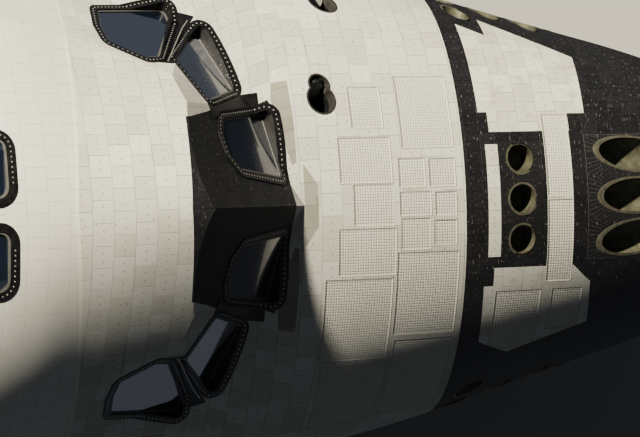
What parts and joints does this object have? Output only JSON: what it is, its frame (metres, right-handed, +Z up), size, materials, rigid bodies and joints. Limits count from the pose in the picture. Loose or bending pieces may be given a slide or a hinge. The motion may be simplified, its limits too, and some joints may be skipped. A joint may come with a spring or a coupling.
{
  "type": "space shuttle forward fuselage",
  "caption": "Tiled nose section of a winged orbiter: hollow crew cabin with windshield, thruster module, hatches and lowered nose gear; bolts to the mid fuselage.",
  "frame": {"origin": "on the aft face of the aft bulkhead, on the centre line, where the round upper lobe of the section has its centre", "axes": "+X forward to the nose, +Y to port, +Z up; the aft face is at X = 0"},
  "size_m": [8.7732, 5.334, 7.2898],
  "materials": {
    "white_tile": "matt silica tile, white glaze, light smudges",
    "black_tile": "satin silica tile, black glaze, scuffed",
    "carbon_cap": "matt coated carbon composite",
    "window_glass": "clear, coated",
    "thruster_bell": "heat-stained",
    "primed_alloy": "satin primer",
    "bare_alloy": "machined",
    "gear_paint": "gloss",
    "tyre_rubber": "worn",
    "wheel_alloy": "forged, satin",
    "cabin_paint": "matt",
    "seat_cloth": "woven"
  },
  "bodies": {
    "root": {"nose_cap": "carbon_cap", "thruster_module": "white_tile", "upper_fuselage": "white_tile", "lower_fuselage": "black_tile", "aft_bulkhead": "primed_alloy", "up_thrusters": "thruster_bell", "forward_thrusters": "thruster_bell", "side_thrusters_port": "thruster_bell", "side_thrusters_starboard": "thruster_bell", "down_thrusters_port": "thruster_bell", "down_thrusters_starboard": "thruster_bell", "wheel_well": "primed_alloy", "gear_door_port": "black_tile", "gear_door_starboard": "black_tile", "aft_window_port": "window_glass", "aft_window_starboard": "window_glass", "flight_deck": "cabin_paint", "mid_deck": "cabin_paint", "instrument_panel": "cabin_paint", "aft_console": "cabin_paint", "seat_port": "seat_cloth", "seat_starboard": "seat_cloth", "gear_leg": "gear_paint", "drag_brace": "gear_paint", "tank_fitting": "bare_alloy", "windshield_forward_port": "window_glass", "windshield_forward_starboard": "window_glass", "windshield_middle_port": "window_glass", "windshield_middle_starboard": "window_glass", "windshield_side_port": "window_glass", "windshield_side_starboard": "window_glass", "overhead_window_port": "window_glass", "overhead_window_starboard": "window_glass"},
    "side_hatch": {"side_hatch": "white_tile", "side_hatch_window": "window_glass"},
    "airlock_hatch": {"airlock_hatch": "primed_alloy"},
    "star_tracker_door_top": {"star_tracker_door_top": "white_tile"},
    "star_tracker_door_side": {"star_tracker_door_side": "white_tile"},
    "air_data_probe_port": {"air_data_probe_port": "black_tile"},
    "air_data_probe_starboard": {"air_data_probe_starboard": "black_tile"},
    "nose_steering": {"steering_post": "gear_paint"},
    "nose_wheels": {"tyre_port": "tyre_rubber", "tyre_starboard": "tyre_rubber", "wheel_port": "wheel_alloy", "wheel_starboard": "wheel_alloy"}
  },
  "joints": [
    {"name": "side_hatch", "type": "hinge", "parent": "root", "child": "side_hatch", "pos_m": [1.95771, 2.55843, -1.2412], "axis": [-0.9929, 0.1191, 0], "range_deg": [0, 90]},
    {"name": "air_data_probe_port", "type": "hinge", "parent": "root", "child": "air_data_probe_port", "pos_m": [5.8455, 1.59344, -2.08336], "axis": [-0.9683, 0.2185, -0.1209], "range_deg": [0, 180]},
    {"name": "air_data_probe_starboard", "type": "hinge", "parent": "root", "child": "air_data_probe_starboard", "pos_m": [5.8455, -1.59344, -2.08336], "axis": [0.9683, 0.2185, 0.1209], "range_deg": [0, 180]},
    {"name": "star_tracker_door_top", "type": "hinge", "parent": "root", "child": "star_tracker_door_top", "pos_m": [3.92261, 1.12069, 0.62321], "axis": [-0.964, 0.131, 0.2315], "range_deg": [0, 90]},
    {"name": "star_tracker_door_side", "type": "hinge", "parent": "root", "child": "star_tracker_door_side", "pos_m": [4.14788, 1.90907, -0.20836], "axis": [-0.9574, 0.236, 0.1662], "range_deg": [0, 90]},
    {"name": "airlock_hatch", "type": "hinge", "parent": "root", "child": "airlock_hatch", "pos_m": [0.094, 0.534, -1.016], "axis": [0, 0, 1], "range_deg": [0, 90]},
    {"name": "nose_steering", "type": "hinge", "parent": "root", "child": "nose_steering", "pos_m": [5.334, 0, -3.81], "axis": [0, 0, 1], "range_deg": [-10, 10]},
    {"name": "nose_wheel_spin", "type": "hinge", "parent": "nose_steering", "child": "nose_wheels", "pos_m": [5.334, 0, -4.2164], "axis": [0, 1, 0], "continuous": true}
  ]
}
